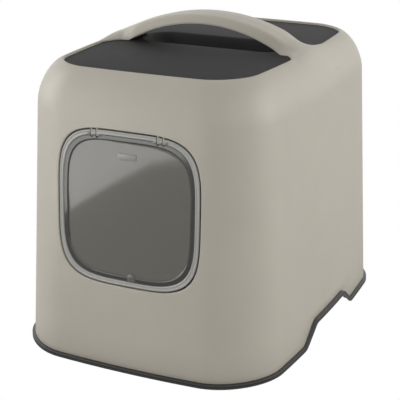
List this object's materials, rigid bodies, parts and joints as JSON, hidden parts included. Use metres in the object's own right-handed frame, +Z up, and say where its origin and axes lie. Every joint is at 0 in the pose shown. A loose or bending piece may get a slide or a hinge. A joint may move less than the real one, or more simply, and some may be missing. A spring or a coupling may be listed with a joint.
{
  "type": "hooded litter box",
  "caption": "Hooded cat litter box with a lift-off hood, swinging smoked flap, turn catch, carrying handle and hinged filter basket over a tray.",
  "frame": {"origin": "middle of the footprint on the floor, at the bottom of the tray", "axes": "X across the width, -Y out of the doorway, +Z up"},
  "size_m": [0.384, 0.5092, 0.4297],
  "materials": {
    "hood_plastic": "fine satin grain",
    "tray_plastic": "satin",
    "panel_plastic": "moulded diamond texture",
    "smoked_pane": "translucent smoked gloss",
    "catch_plastic": "gloss",
    "charcoal_felt": "charcoal felt"
  },
  "bodies": {
    "tray": {"base_tray": "tray_plastic"},
    "hood": {"hood": "hood_plastic", "top_panel": "panel_plastic"},
    "flap": {"flap": "smoked_pane"},
    "catch": {"flap_catch": "catch_plastic"},
    "filter": {"filter_basket": "tray_plastic", "charcoal_pad": "charcoal_felt"}
  },
  "joints": [
    {"name": "hood_lift", "type": "slide", "parent": "tray", "child": "hood", "axis": [0, 0, 1], "range_m": [0, 0.12]},
    {"name": "flap_swing", "type": "hinge", "parent": "hood", "child": "flap", "pos_m": [0, -0.23232, 0.31138], "axis": [1, 0, 0], "range_deg": [-50, 80]},
    {"name": "catch_turn", "type": "hinge", "parent": "flap", "child": "catch", "pos_m": [0.0065, -0.24538, 0.12978], "axis": [0, 0.999, -0.0436], "range_deg": [0, 90]},
    {"name": "filter_swing", "type": "hinge", "parent": "hood", "child": "filter", "pos_m": [0, 0.0625, 0.3547], "axis": [1, 0, 0], "range_deg": [0, 90]}
  ]
}
